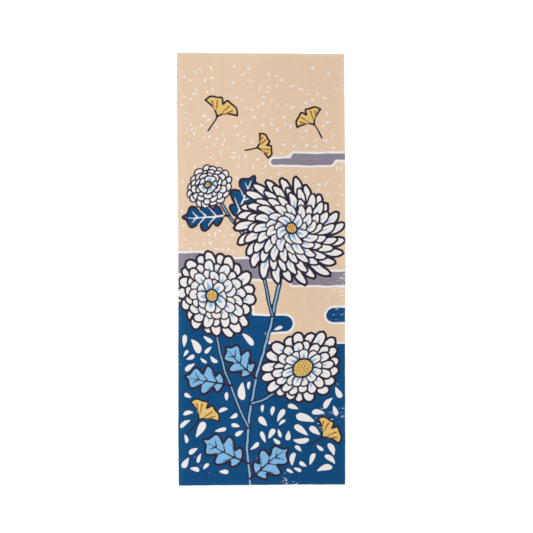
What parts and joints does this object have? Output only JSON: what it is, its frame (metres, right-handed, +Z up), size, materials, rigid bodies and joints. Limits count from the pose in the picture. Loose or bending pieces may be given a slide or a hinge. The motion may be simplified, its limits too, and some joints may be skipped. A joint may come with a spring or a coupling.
{
  "type": "tenugui towel",
  "caption": "Long rectangular hand towel of printed plain-weave cotton, lying flat and face up, with woven selvedges on its long sides, plain cut ends and a soft lengthwise fold.",
  "frame": {"origin": "on the surface that the towel lies on, under the middle of its outline", "axes": "+X across the towel to its right selvedge, +Y along it to the upper end of its print, +Z up out of the printed face"},
  "size_m": [0.351, 0.9024, 0.0044],
  "materials": {
    "printed_cotton": "dyed and printed plain-weave cotton, matte, with a flower print in sand, deep blue, white and dark ink"
  },
  "bodies": {
    "root": {"towel_cloth": "printed_cotton"}
  },
  "joints": []
}
